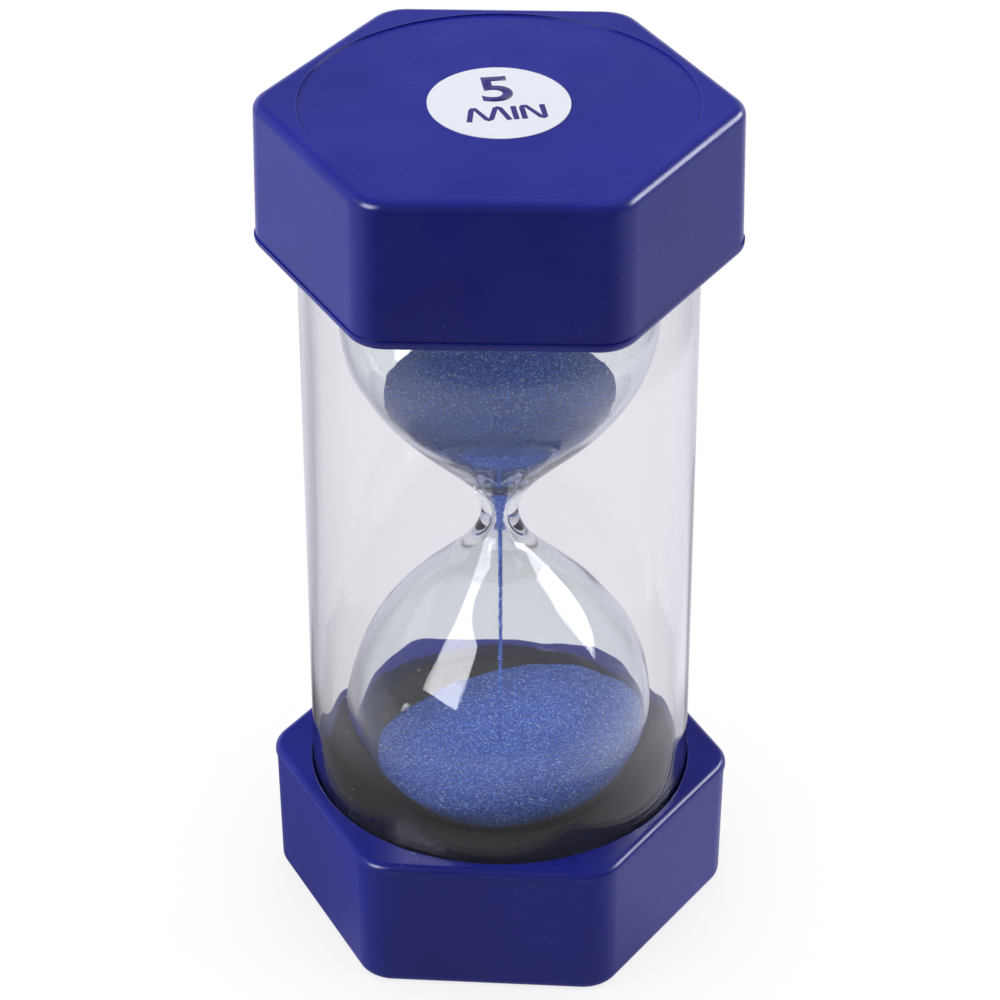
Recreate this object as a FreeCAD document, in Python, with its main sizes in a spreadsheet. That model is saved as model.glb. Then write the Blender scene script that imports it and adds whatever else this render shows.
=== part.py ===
import FreeCAD, Part
import math
import os

import Sketcher

# Sand timer: two clear bulbs of blown glass inside a clear tube, held between two
# hexagonal end caps.  The origin is the middle of the lower closed face, +Z is up,
# and two of the flats of each cap face -Y and +Y.

# Driving sizes: name, value in millimetres (or degrees where the name says angle,
# draft, tilt or twist) and what the size is.
driving_sizes = [
    ("overall_height", 160.0, "closed face to closed face"),
    ("tube_diameter", 69.0, "outside of the clear tube"),
    ("tube_wall", 1.6, "wall of the clear tube"),
    ("tube_clearance", 0.15, "gap between the tube and what it stands in"),
    ("cap_height", 26.9, "cap with its cover plate"),
    ("cap_wall", 2.2, "wall of a cap at the middle of a flat, at the mouth"),
    ("cap_floor", 2.2, "closed end of a cap"),
    ("cap_draft", 0.8, "draft of the outer walls"),
    ("cap_corner_radius", 7.0, "upright corners of a cap"),
    ("cap_edge_radius", 1.8, "edge round the closed face"),
    ("cap_twist", 2.1, "how far the lower cap is turned against the upper one"),
    ("recess_border", 2.7, "flat of the closed face between its round recess and the wall"),
    ("recess_depth", 0.3, "depth of that recess"),
    ("plate_thickness", 1.8, "cover plate at the mouth of a cap"),
    ("plate_overhang", 0.25, "how far the plate stands proud of the cap"),
    ("plate_edge_radius", 1.4, "free outer edge of the plate"),
    ("plate_hole_edge_radius", 0.4, "free edge of the hole for the tube"),
    ("post_radius", 2.2, "posts in the corners of a cap"),
    ("peg_radius", 1.1, "pegs under the plate"),
    ("peg_length", 6.0, "pegs under the plate"),
    ("peg_clearance", 0.05, "gap round a peg in its post"),
    ("foam_thickness", 22.6, "foam pad in the end of the tube"),
    ("foam_clearance", 0.1, "gap between a pad and what it meets"),
    ("crown_sink", 9.6, "how far the end of a bulb is nested in its pad"),
    ("bulb_gap", 5.0, "between the widest place of a bulb and the tube"),
    ("shoulder_length", 41.0, "middle of the neck to the widest place"),
    ("neck_radius", 3.4, "outer radius at the middle of the neck"),
    ("neck_ease", 10.0, "how far the neck's line is led straight on"),
    ("shoulder_ease", 21.0, "how far the line is led straight into the widest place"),
    ("glass_wall", 1.2, "wall of a bulb"),
    ("orifice_radius", 0.8, "passage through the neck"),
    ("funnel_length", 10.0, "middle of the neck to where the glass is thin"),
    ("funnel_ease", 8.0, "how far the passage's line is led straight on"),
    ("funnel_blend", 1.0, "how far the thin glass is led on into the funnel"),
    ("plug_radius", 4.0, "stopper in the filling hole"),
    ("plug_length", 3.2, "stopper in the filling hole"),
    ("sand_clearance", 0.05, "gap between the sand and the glass"),
    ("upper_sand_level", 24.4, "rim of the upper sand above the neck"),
    ("upper_sand_angle", 24.0, "slope of the funnel in the upper sand"),
    ("lower_sand_depth", 14.9, "lower sand on the axis, above the inside of the glass"),
    ("lower_sand_tilt_side", 10.0, "the lower sand rises towards +X"),
    ("lower_sand_tilt_front", 6.3, "the lower sand rises towards -Y"),
    ("crater_radius", 13.0, "dimple where the stream lands"),
    ("crater_depth", 1.8, "dimple where the stream lands"),
    ("stream_top_radius", 0.7, "falling sand under the neck"),
    ("stream_bottom_radius", 0.4, "falling sand where it lands"),
    ("label_length", 26.2, "oval label, longer way"),
    ("label_width", 24.0, "oval label, shorter way"),
    ("label_thickness", 0.12, "paper label"),
    ("label_angle", 10.0, "turn of the label on its face"),
]

hexagon_sides = 6
half_turn = 180
full_turn = 360
same_place = 1e-4  # distance within which two places are the same
steep = 10  # rise over run of an edge that counts as upright
upright = FreeCAD.Vector(0, 0, 1)
origin = FreeCAD.Vector(0, 0, 0)

document = FreeCAD.newDocument("SandTimer")


def make_sheet():
    """Spreadsheet with one named cell for each driving size."""
    sheet = document.addObject("Spreadsheet::Sheet", "Sizes")
    for row, (name, value, note) in enumerate(driving_sizes, start=1):
        sheet.set(f"A{row}", name)
        sheet.set(f"B{row}", str(value))
        sheet.set(f"C{row}", note)
        sheet.setAlias(f"B{row}", name)
    document.recompute()
    return sheet


sizes = make_sheet()

# Radii and heights that several pieces share, as expressions on the sheet.
bore_radius = "(Sizes.tube_diameter / 2 + Sizes.tube_clearance)"
mouth_apothem = f"({bore_radius} + Sizes.cap_wall)"
cup_height = "(Sizes.cap_height - Sizes.plate_thickness)"
face_apothem = f"({mouth_apothem} - {cup_height} * tan(Sizes.cap_draft * 1 deg))"
post_circle_radius = f"({bore_radius} + Sizes.post_radius)"
tube_bore_radius = "(Sizes.tube_diameter / 2 - Sizes.tube_wall)"
bulb_radius = f"({tube_bore_radius} - Sizes.bulb_gap)"
crown_height = "(Sizes.cap_floor + Sizes.foam_thickness - Sizes.crown_sink)"
crown_length = f"(Sizes.overall_height / 2 - {crown_height} - Sizes.shoulder_length)"
apothem_to_corner = f"/ cos({half_turn / hexagon_sides} deg)"


def origin_feature(body, role):
    """The plane or axis of a body's own origin that has this role."""
    return next(item for item in body.Origin.OriginFeatures if item.Role == role)


def add_body(node):
    """An empty PartDesign body whose label is the node's name."""
    body = document.addObject("PartDesign::Body", node)
    body.Label = node
    return body


def add_sketch(body, name, height="0"):
    """A sketch parallel to the body's XY plane at the given height."""
    sketch = body.newObject("Sketcher::SketchObject", f"{body.Name}_{name}")
    sketch.AttachmentSupport = [(origin_feature(body, "XY_Plane"), "")]
    sketch.MapMode = "FlatFace"
    sketch.setExpression(".AttachmentOffset.Base.z", f"{height} * 1 mm")
    return sketch


def draw_hexagon(sketch, circumradius):
    """A regular hexagon about the origin with two corners on the X axis."""
    start_radius = 10.0
    corners = []
    for number in range(hexagon_sides):
        angle = 2 * math.pi * number / hexagon_sides
        corners.append(FreeCAD.Vector(math.cos(angle), math.sin(angle), 0) * start_radius)
    for number in range(hexagon_sides):
        end = corners[(number + 1) % hexagon_sides]
        sketch.addGeometry(Part.LineSegment(corners[number], end), False)
    circle = sketch.addGeometry(Part.Circle(origin, upright, start_radius), True)
    sketch.addConstraint(Sketcher.Constraint("Coincident", circle, 3, -1, 1))
    for number in range(hexagon_sides):
        following = (number + 1) % hexagon_sides
        sketch.addConstraint(Sketcher.Constraint("Coincident", number, 2, following, 1))
        sketch.addConstraint(Sketcher.Constraint("PointOnObject", number, 1, circle))
        if following:
            sketch.addConstraint(Sketcher.Constraint("Equal", number, following))
    sketch.addConstraint(Sketcher.Constraint("PointOnObject", 0, 1, -1))
    radius = sketch.addConstraint(Sketcher.Constraint("Radius", circle, start_radius))
    sketch.setExpression(f"Constraints[{radius}]", f"{circumradius} * 1 mm")


def draw_circle(sketch, radius, distance="0"):
    """A circle whose middle is on the X axis at a distance from the origin."""
    start_distance = 5.0 if distance != "0" else 0.0
    middle = FreeCAD.Vector(start_distance, 0, 0)
    circle = sketch.addGeometry(Part.Circle(middle, upright, 1.0), False)
    if distance == "0":
        sketch.addConstraint(Sketcher.Constraint("Coincident", circle, 3, -1, 1))
    else:
        sketch.addConstraint(Sketcher.Constraint("PointOnObject", circle, 3, -1))
        place = sketch.addConstraint(
            Sketcher.Constraint("DistanceX", -1, 1, circle, 3, start_distance))
        sketch.setExpression(f"Constraints[{place}]", f"{distance} * 1 mm")
    size = sketch.addConstraint(Sketcher.Constraint("Radius", circle, 1.0))
    sketch.setExpression(f"Constraints[{size}]", f"{radius} * 1 mm")


def add_pad(body, sketch, length, draft=None, downwards=False):
    """Raise a sketch into a solid, with walls that spread at the draft angle."""
    pad = body.newObject("PartDesign::Pad", f"{sketch.Name}_pad")
    pad.Profile = sketch
    pad.setExpression("Length", f"{length} * 1 mm")
    pad.Reversed = downwards
    if draft:
        pad.setExpression("TaperAngle", f"{draft} * 1 deg")
    document.recompute()
    return pad


def add_pocket(body, sketch, depth, upwards=False):
    """Cut a sketch into the solid, and make sure that it takes something away."""
    before = body.Shape.Volume
    pocket = body.newObject("PartDesign::Pocket", f"{sketch.Name}_pocket")
    pocket.Profile = sketch
    pocket.setExpression("Length", f"{depth} * 1 mm")
    pocket.Reversed = upwards
    document.recompute()
    if body.Shape.Volume >= before:
        raise RuntimeError(f"{pocket.Name} cuts nothing")
    return pocket


def add_fillet(body, name, radius, is_wanted):
    """Round the edges of the body's last feature that the test picks."""
    base = body.Tip
    wanted = []
    for number, edge in enumerate(base.Shape.Edges, start=1):
        if is_wanted(edge):
            wanted.append(f"Edge{number}")
    fillet = body.newObject("PartDesign::Fillet", f"{body.Name}_{name}")
    fillet.Base = (base, wanted)
    fillet.setExpression("Radius", f"{radius} * 1 mm")
    document.recompute()
    return fillet


def add_ring_of(body, feature):
    """Repeat a feature at the six corners."""
    pattern = body.newObject("PartDesign::PolarPattern", f"{feature.Name}_ring")
    pattern.Originals = [feature]
    pattern.Axis = (origin_feature(body, "Z_Axis"), [""])
    pattern.Angle = full_turn
    pattern.Occurrences = hexagon_sides
    body.Tip = pattern
    document.recompute()
    return pattern


def distance_from_axis(point):
    return math.hypot(point.x, point.y)


def is_upright_corner(edge, reach):
    """A nearly upright edge that is at least this far from the axis."""
    if len(edge.Vertexes) != 2:
        return False
    first, last = edge.Vertexes[0].Point, edge.Vertexes[1].Point
    rise = abs(last.z - first.z)
    run = distance_from_axis(last) - distance_from_axis(first)
    middle = (first + last) * 0.5
    return rise > steep * abs(run) and distance_from_axis(middle) > reach


def lies_at(edge, height):
    """Every end of the edge is at this height."""
    return all(abs(vertex.Z - height) < same_place for vertex in edge.Vertexes)


def make_cap(node):
    """Hexagonal cup, closed face down, with a post in each corner for the pegs."""
    body = add_body(node)
    outline = add_sketch(body, "outline")
    draw_hexagon(outline, face_apothem + apothem_to_corner)
    add_pad(body, outline, cup_height, draft="Sizes.cap_draft")
    inside = sizes.tube_diameter / 2
    add_fillet(body, "corners", "Sizes.cap_corner_radius",
               lambda edge: is_upright_corner(edge, inside))
    add_fillet(body, "face_edge", "Sizes.cap_edge_radius",
               lambda edge: lies_at(edge, 0))

    hollow = add_sketch(body, "hollow", height=cup_height)
    draw_hexagon(hollow, bore_radius + apothem_to_corner)
    add_pocket(body, hollow, f"({cup_height} - Sizes.cap_floor)")
    rim = sizes.cap_height - sizes.plate_thickness
    inner_corner = (inside + sizes.tube_clearance) / math.cos(math.pi / hexagon_sides)

    def is_inner_corner(edge):
        if not is_upright_corner(edge, inside):
            return False
        heights = sorted(vertex.Z for vertex in edge.Vertexes)
        reach = max(distance_from_axis(vertex.Point) for vertex in edge.Vertexes)
        return abs(heights[1] - rim) < same_place and abs(reach - inner_corner) < same_place

    add_fillet(body, "inner_corners", "(Sizes.cap_corner_radius - Sizes.cap_wall)",
               is_inner_corner)

    post = add_sketch(body, "post", height="Sizes.cap_floor")
    draw_circle(post, "Sizes.post_radius", post_circle_radius)
    post_pad = add_pad(body, post, f"({cup_height} - Sizes.cap_floor)")
    add_ring_of(body, post_pad)

    socket = add_sketch(body, "socket", height=cup_height)
    draw_circle(socket, "(Sizes.peg_radius + Sizes.peg_clearance)", post_circle_radius)
    socket_pocket = add_pocket(body, socket, "(Sizes.peg_length + Sizes.peg_clearance)")
    add_ring_of(body, socket_pocket)

    recess = add_sketch(body, "recess")
    draw_circle(recess, f"({face_apothem} - Sizes.recess_border)")
    add_pocket(body, recess, "Sizes.recess_depth", upwards=True)
    return body


def make_cover_plate(node):
    """Flat ring that closes the mouth of a cap round the tube, with six pegs."""
    body = add_body(node)
    outline = add_sketch(body, "outline", height=cup_height)
    draw_hexagon(outline, f"({mouth_apothem} + Sizes.plate_overhang)" + apothem_to_corner)
    add_pad(body, outline, "Sizes.plate_thickness")
    inside = sizes.tube_diameter / 2
    top = sizes.cap_height

    def is_corner(edge):
        return (not lies_at(edge, top) and not lies_at(edge, top - sizes.plate_thickness)
                and distance_from_axis(edge.CenterOfMass) > inside)

    add_fillet(body, "corners", "(Sizes.cap_corner_radius + Sizes.plate_overhang)", is_corner)
    add_fillet(body, "free_edge", "Sizes.plate_edge_radius", lambda edge: lies_at(edge, top))

    hole = add_sketch(body, "hole", height="Sizes.cap_height")
    draw_circle(hole, bore_radius)
    add_pocket(body, hole, "Sizes.plate_thickness")
    bore = inside + sizes.tube_clearance
    add_fillet(body, "hole_edge", "Sizes.plate_hole_edge_radius",
               lambda edge: lies_at(edge, top) and edge.Curve.TypeId == "Part::GeomCircle"
               and abs(edge.Curve.Radius - bore) < same_place)

    peg = add_sketch(body, "peg", height=cup_height)
    draw_circle(peg, "Sizes.peg_radius", post_circle_radius)
    peg_pad = add_pad(body, peg, "Sizes.peg_length", downwards=True)
    add_ring_of(body, peg_pad)
    return body


def bind_height(item, height):
    """Place an object on the axis at a height worked out on the sheet."""
    item.setExpression(".Placement.Base.z", f"{height} * 1 mm")


def turn_over(item):
    """Place a piece of the lower end at the upper end, turned about the X axis."""
    item.Placement.Rotation = FreeCAD.Rotation(FreeCAD.Vector(1, 0, 0), half_turn)
    bind_height(item, "Sizes.overall_height")


def turn_by_twist(item):
    item.setExpression(".Placement.Rotation.Angle", "-Sizes.cap_twist * 1 deg")


def add_cylinder(name, radius, height, base_height="0"):
    """Upright round solid on the axis."""
    cylinder = document.addObject("Part::Cylinder", name)
    cylinder.setExpression("Radius", f"{radius} * 1 mm")
    cylinder.setExpression("Height", f"{height} * 1 mm")
    bind_height(cylinder, base_height)
    return cylinder


def cut(node, base, tool):
    """The base with the tool taken away."""
    result = document.addObject("Part::Cut", node)
    result.Base = base
    result.Tool = tool
    result.Label = node
    return result


def make_tube(node):
    """Clear tube that stands on the floors of both caps."""
    length = "(Sizes.overall_height - 2 * Sizes.cap_floor)"
    outside = add_cylinder(f"{node}_outside", "Sizes.tube_diameter / 2", length, "Sizes.cap_floor")
    inside = add_cylinder(f"{node}_inside", tube_bore_radius, length, "Sizes.cap_floor")
    return cut(node, outside, inside)


def make_foam_pad(node):
    """Round pad on the floor of the lower cap, hollowed to nest the end of a bulb."""
    disc_radius = f"({tube_bore_radius} - Sizes.foam_clearance)"
    disc = add_cylinder(f"{node}_disc", disc_radius, "Sizes.foam_thickness", "Sizes.cap_floor")
    dome = document.addObject("Part::Ellipsoid", f"{node}_dome")
    dome.setExpression("Radius1", f"({crown_length} + Sizes.foam_clearance) * 1 mm")
    for side_radius in ("Radius2", "Radius3"):
        dome.setExpression(side_radius, f"({bulb_radius} + Sizes.foam_clearance) * 1 mm")
    bind_height(dome, f"({crown_height} + {crown_length})")
    return cut(node, disc, dome)


def make_label(node):
    """Oval paper label in the recess of the lower closed face."""
    outline = document.addObject("Part::Ellipse", f"{node}_outline")
    outline.setExpression("MajorRadius", "Sizes.label_length / 2 * 1 mm")
    outline.setExpression("MinorRadius", "Sizes.label_width / 2 * 1 mm")
    label = document.addObject("Part::Extrusion", node)
    label.Label = node
    label.Base = outline
    label.DirMode = "Custom"
    label.Dir = upright
    label.setExpression("LengthFwd", "Sizes.label_thickness * 1 mm")
    label.Solid = True
    return label


def place_labels(lower, upper):
    """Lay one label in each recess, face outwards, long way along Y."""
    quarter_turn = 90
    turn = FreeCAD.Rotation(upright, quarter_turn + sizes.label_angle)
    over = FreeCAD.Rotation(FreeCAD.Vector(1, 0, 0), half_turn)
    lower.Placement.Rotation = over * turn
    bind_height(lower, "Sizes.recess_depth")
    upper.Placement.Rotation = turn
    bind_height(upper, "(Sizes.overall_height - Sizes.recess_depth)")


def widest_radius():
    """Outer radius of a bulb at its widest place."""
    return sizes.tube_diameter / 2 - sizes.tube_wall - sizes.bulb_gap


def crown_distance():
    """Middle of the neck to the closed end of a bulb."""
    crown = sizes.cap_floor + sizes.foam_thickness - sizes.crown_sink
    return sizes.overall_height / 2 - crown


def dome_height():
    """Closed end of a bulb above its widest place."""
    return crown_distance() - sizes.shoulder_length


def bezier(points):
    curve = Part.BezierCurve()
    curve.setPoles(points)
    return curve


def shoulder_curve():
    """Outer line of a bulb from the middle of the neck to the widest place."""
    waist = FreeCAD.Vector(sizes.neck_radius, 0, 0)
    widest = FreeCAD.Vector(widest_radius(), 0, sizes.shoulder_length)
    return bezier([waist, waist + upright * sizes.neck_ease,
                   widest - upright * sizes.shoulder_ease, widest])


def parameter_at(curve, height):
    """Parameter of a bulb's line at a height above the middle of the neck."""
    level = Part.LineSegment(FreeCAD.Vector(0, 0, height),
                             FreeCAD.Vector(sizes.tube_diameter, 0, height))
    crossing = curve.intersectCC(level)[0]
    return curve.parameter(FreeCAD.Vector(crossing.X, crossing.Y, crossing.Z))


def wall_curve(wall):
    """Inner line of the thin glass, from the funnel to the widest place."""
    line = shoulder_curve()
    line.segment(parameter_at(line, sizes.funnel_length), 1)
    start, start_handle, end_handle, end = line.getPoles()
    along = (start_handle - start).normalize()
    new_start = start + FreeCAD.Vector(-along.z, 0, along.x) * wall
    new_end = end - FreeCAD.Vector(wall, 0, 0)
    shrink = (new_end - new_start).Length / (end - start).Length
    return bezier([new_start, new_start + (start_handle - start) * shrink,
                   new_end + (end_handle - end) * shrink, new_end])


def funnel_curve(wall_line, passage):
    """Inner line of the thick glass, from the middle of the neck to the thin glass."""
    narrow = FreeCAD.Vector(passage, 0, 0)
    wide, wide_handle = wall_line.getPoles()[:2]
    along = (wide_handle - wide).normalize()
    return bezier([narrow, narrow + upright * sizes.funnel_ease,
                   wide - along * sizes.funnel_blend, wide])


def dome_curve(radius, height):
    """Quarter of an ellipse from the widest place to the crown on the axis."""
    side = FreeCAD.Vector(radius, 0, sizes.shoulder_length)
    corner = side + upright * height
    arc = bezier([side, corner, FreeCAD.Vector(0, 0, corner.z)])
    arc.setWeight(2, math.sqrt(0.5))
    return arc


def revolve_outline(curves):
    """Solid inside a line that runs from the middle plane to the crown on the axis."""
    start = curves[0].value(0)
    crown = curves[-1].value(1)
    edges = [Part.LineSegment(origin, start).toShape()]
    edges += [curve.toShape() for curve in curves]
    edges.append(Part.LineSegment(crown, origin).toShape())
    return Part.Face(Part.Wire(edges)).revolve(origin, upright, full_turn)


def bulb_outside():
    return revolve_outline([shoulder_curve(), dome_curve(widest_radius(), dome_height())])


def bulb_inside(clearance):
    """Hollow of a bulb, or with a clearance the room that its sand can fill."""
    wall = sizes.glass_wall + clearance
    wall_line = wall_curve(wall)
    return revolve_outline([
        funnel_curve(wall_line, sizes.orifice_radius - clearance),
        wall_line,
        dome_curve(widest_radius() - wall, dome_height() - wall),
    ])


def upside_down(shape):
    """The shape turned about the X axis, so that it hangs below the neck."""
    turned = shape.copy()
    turned.rotate(origin, FreeCAD.Vector(1, 0, 0), half_turn)
    return turned


def add_feature(node, shape):
    """A piece whose shape is worked out in the timer's own frame about the neck."""
    feature = document.addObject("Part::Feature", node)
    feature.Shape = shape
    feature.Label = node
    bind_height(feature, "Sizes.overall_height / 2")
    return feature


def filling_hole(radius):
    """Round tool through the crown of the upper bulb, well past both of its sides."""
    reach = 2 * sizes.plug_length
    start = FreeCAD.Vector(0, 0, crown_distance() - reach)
    return Part.makeCylinder(radius, 2 * reach, start)


def make_glass(node):
    """Both bulbs and the neck between them as one blown piece."""
    outside = bulb_outside().fuse(upside_down(bulb_outside()))
    inside = bulb_inside(0).fuse(upside_down(bulb_inside(0)))
    glass = outside.cut(inside).cut(filling_hole(sizes.plug_radius))
    return add_feature(node, glass.removeSplitter())


def make_plug(node):
    """Stopper in the filling hole, flush with the outside of the glass."""
    foot = FreeCAD.Vector(0, 0, crown_distance() - sizes.plug_length)
    overlong = 2 * sizes.plug_length
    plug = Part.makeCylinder(sizes.plug_radius - sizes.sand_clearance, overlong, foot)
    return add_feature(node, plug.common(bulb_outside()))


def make_upper_sand(node):
    """Sand that is still to fall, with the funnel that it drains into."""
    inside = bulb_inside(sizes.sand_clearance)
    slope = math.tan(math.radians(sizes.upper_sand_angle))
    rise = sizes.overall_height
    drop = shoulder_radius_at(sizes.upper_sand_level) * slope
    tip = FreeCAD.Vector(0, 0, sizes.upper_sand_level - drop)
    funnel = Part.makeCone(0, rise / slope, rise, tip)
    return add_feature(node, inside.cut(funnel))


def shoulder_radius_at(height):
    """Inner radius of a bulb at a height above the middle of the neck."""
    curve = wall_curve(sizes.glass_wall + sizes.sand_clearance)
    return curve.value(parameter_at(curve, height)).x


def lower_surface_height():
    """The lower sand's surface on the axis, measured from the middle of the neck."""
    return sizes.glass_wall + sizes.lower_sand_depth - crown_distance()


def crater_ball():
    """Ball that leaves a dimple of the crater's radius and depth in a flat surface."""
    depth = sizes.crater_depth
    ball_radius = (sizes.crater_radius ** 2 + depth ** 2) / (2 * depth)
    middle = FreeCAD.Vector(0, 0, lower_surface_height() - depth + ball_radius)
    return Part.makeSphere(ball_radius, middle)


def make_lower_sand(node):
    """Sand that has fallen: filled up to a tilted surface with a dimple in it."""
    inside = upside_down(bulb_inside(sizes.sand_clearance))
    width = 2 * sizes.tube_diameter
    above = Part.makeBox(width, width, sizes.overall_height,
                         FreeCAD.Vector(-width / 2, -width / 2, 0))
    above.rotate(origin, FreeCAD.Vector(0, 1, 0), -sizes.lower_sand_tilt_side)
    above.rotate(origin, FreeCAD.Vector(1, 0, 0), -sizes.lower_sand_tilt_front)
    above.translate(FreeCAD.Vector(0, 0, lower_surface_height()))
    ball = crater_ball()
    return add_feature(node, inside.cut(above).cut(ball))


def make_stream(node):
    """Thin column of falling sand from the neck to the dimple."""
    landing = lower_surface_height() - sizes.crater_depth + sizes.sand_clearance
    stream = Part.makeCone(sizes.stream_bottom_radius, sizes.stream_top_radius,
                           -landing, FreeCAD.Vector(0, 0, landing))
    return add_feature(node, stream)


def make_timer():
    """Every piece of the timer, each an object whose label is its node's name."""
    lower_cap = make_cap("lower_cap")
    upper_cap = make_cap("upper_cap")
    lower_plate = make_cover_plate("lower_cover_plate")
    upper_plate = make_cover_plate("upper_cover_plate")
    lower_pad = make_foam_pad("lower_foam_pad")
    upper_pad = make_foam_pad("upper_foam_pad")
    lower_label = make_label("lower_label")
    upper_label = make_label("upper_label")
    for item in (upper_cap, upper_plate, upper_pad):
        turn_over(item)
    for item in (lower_cap, lower_plate):
        turn_by_twist(item)
    place_labels(lower_label, upper_label)
    return [
        lower_cap, upper_cap, lower_plate, upper_plate, lower_pad, upper_pad,
        lower_label, upper_label,
        make_tube("viewing_tube"),
        make_glass("glass_bulbs"),
        make_plug("filling_plug"),
        make_upper_sand("upper_sand"),
        make_lower_sand("lower_sand"),
        make_stream("sand_stream"),
    ]


def check(pieces):
    """Stop if an object failed or a piece is not one valid closed solid."""
    for item in document.Objects:
        if "Invalid" in item.State or "Error" in item.State:
            raise RuntimeError(f"{item.Name} failed: {item.State}")
    for piece in pieces:
        shape = piece.Shape
        if shape.isNull() or not shape.isValid() or len(shape.Solids) != 1:
            raise RuntimeError(f"{piece.Label} is not one valid solid")


def write(pieces):
    """One STEP file for each piece."""
    os.makedirs("parts", exist_ok=True)
    for piece in pieces:
        piece.Shape.exportStep(f"parts/{piece.Label}.step")
        box = piece.Shape.BoundBox
        print(f"{piece.Label}: {piece.Shape.Volume / 1000:.2f} cm3, "
              f"z {box.ZMin:.2f} to {box.ZMax:.2f}, x {box.XLength:.2f}, y {box.YLength:.2f}")


timer = make_timer()
document.recompute()
check(timer)
write(timer)
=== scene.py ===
import math
import random

import bpy
from mathutils import Matrix, Vector, noise


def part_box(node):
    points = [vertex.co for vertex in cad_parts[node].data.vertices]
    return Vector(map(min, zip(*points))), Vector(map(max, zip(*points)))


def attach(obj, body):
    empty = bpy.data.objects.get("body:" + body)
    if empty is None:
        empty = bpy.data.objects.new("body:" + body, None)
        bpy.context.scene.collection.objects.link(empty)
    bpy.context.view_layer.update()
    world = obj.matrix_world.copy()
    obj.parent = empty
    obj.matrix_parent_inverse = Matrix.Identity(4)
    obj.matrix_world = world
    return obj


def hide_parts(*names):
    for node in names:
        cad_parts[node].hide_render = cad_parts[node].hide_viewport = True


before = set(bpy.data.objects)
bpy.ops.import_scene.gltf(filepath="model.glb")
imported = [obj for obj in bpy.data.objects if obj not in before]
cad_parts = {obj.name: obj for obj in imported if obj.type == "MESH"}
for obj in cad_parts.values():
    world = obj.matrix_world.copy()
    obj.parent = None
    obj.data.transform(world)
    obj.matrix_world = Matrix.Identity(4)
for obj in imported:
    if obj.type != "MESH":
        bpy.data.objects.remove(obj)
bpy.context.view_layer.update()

mm = 0.001
fullTurn = 2 * math.pi
plain = (0, 0, 0)

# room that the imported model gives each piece
tubeLow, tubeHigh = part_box("viewing_tube")
glassLow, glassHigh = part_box("glass_bulbs")
plugLow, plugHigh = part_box("filling_plug")
neckHeight = (tubeLow.z + tubeHigh.z) / 2


def clearSelection():
    if bpy.context.object and bpy.context.object.mode != "OBJECT":
        bpy.ops.object.mode_set(mode="OBJECT")
    bpy.ops.object.select_all(action="DESELECT")


def makeActive(piece):
    clearSelection()
    piece.select_set(True)
    bpy.context.view_layer.objects.active = piece


def finishPiece(piece, name, finish):
    # the place goes into the mesh, and the object stays at the origin
    makeActive(piece)
    bpy.ops.object.transform_apply(location=True, rotation=True, scale=True)
    piece.name = name
    piece.data.name = name
    piece.data.materials.clear()
    piece.data.materials.append(finishes[finish])
    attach(piece, "root")
    return piece


def spinOutline(outline, sides, closed=False):
    # one vertex is extruded along the outline, and the line is spun round the tube's axis
    clearSelection()
    bpy.ops.mesh.primitive_plane_add(size=mm, location=plain)
    piece = bpy.context.object
    bpy.ops.object.mode_set(mode="EDIT")
    bpy.ops.mesh.select_mode(type="VERT")
    bpy.ops.mesh.merge(type="CENTER")
    bpy.ops.transform.translate(value=(outline[0].x, 0, outline[0].y))
    stops = outline[1:] + outline[:1] if closed else outline[1:]
    before = outline[0]
    for after in stops:
        step = (after.x - before.x, 0, after.y - before.y)
        bpy.ops.mesh.extrude_region_move(TRANSFORM_OT_translate={"value": step})
        before = after
    bpy.ops.mesh.select_all(action="SELECT")
    bpy.ops.mesh.spin(steps=sides, angle=fullTurn, center=plain, axis=(0, 0, 1))
    bpy.ops.mesh.select_all(action="SELECT")
    bpy.ops.mesh.remove_doubles(threshold=0.002 * mm)
    bpy.ops.mesh.normals_make_consistent(inside=False)
    bpy.ops.object.mode_set(mode="OBJECT")
    bpy.ops.object.shade_smooth()
    return piece


def unevenness(place, size, depth, shift=0.0):
    # smooth bumps of a given width and depth
    return depth * noise.noise(place / size + Vector((shift, 0, 0)))


# node helpers: each one adds a node to a material and gives its output

def newMaterial(name):
    material = bpy.data.materials.new(name)
    material.use_nodes = True
    return material.node_tree, material.node_tree.nodes["Principled BSDF"], material


def addNode(tree, kind, **settings):
    node = tree.nodes.new(kind)
    for key, value in settings.items():
        setattr(node, key, value)
    return node


def feed(tree, value, socket):
    if isinstance(value, bpy.types.NodeSocket):
        tree.links.new(value, socket)
    else:
        socket.default_value = value


def places(tree, stretch=None):
    source = addNode(tree, "ShaderNodeTexCoord").outputs["Object"]
    if stretch is None:
        return source
    mapping = addNode(tree, "ShaderNodeMapping")
    mapping.inputs["Scale"].default_value = stretch
    feed(tree, source, mapping.inputs["Vector"])
    return mapping.outputs["Vector"]


def grain(tree, width, detail=2.0, roughness=0.5, stretch=None):
    texture = addNode(tree, "ShaderNodeTexNoise")
    texture.inputs["Scale"].default_value = 1 / width
    texture.inputs["Detail"].default_value = detail
    texture.inputs["Roughness"].default_value = roughness
    feed(tree, places(tree, stretch), texture.inputs["Vector"])
    return texture.outputs["Fac"]


def cells(tree, width):
    texture = addNode(tree, "ShaderNodeTexVoronoi")
    texture.inputs["Scale"].default_value = 1 / width
    feed(tree, places(tree), texture.inputs["Vector"])
    parts = addNode(tree, "ShaderNodeSeparateColor")
    feed(tree, texture.outputs["Color"], parts.inputs["Color"])
    return texture.outputs["Distance"], parts.outputs


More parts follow.
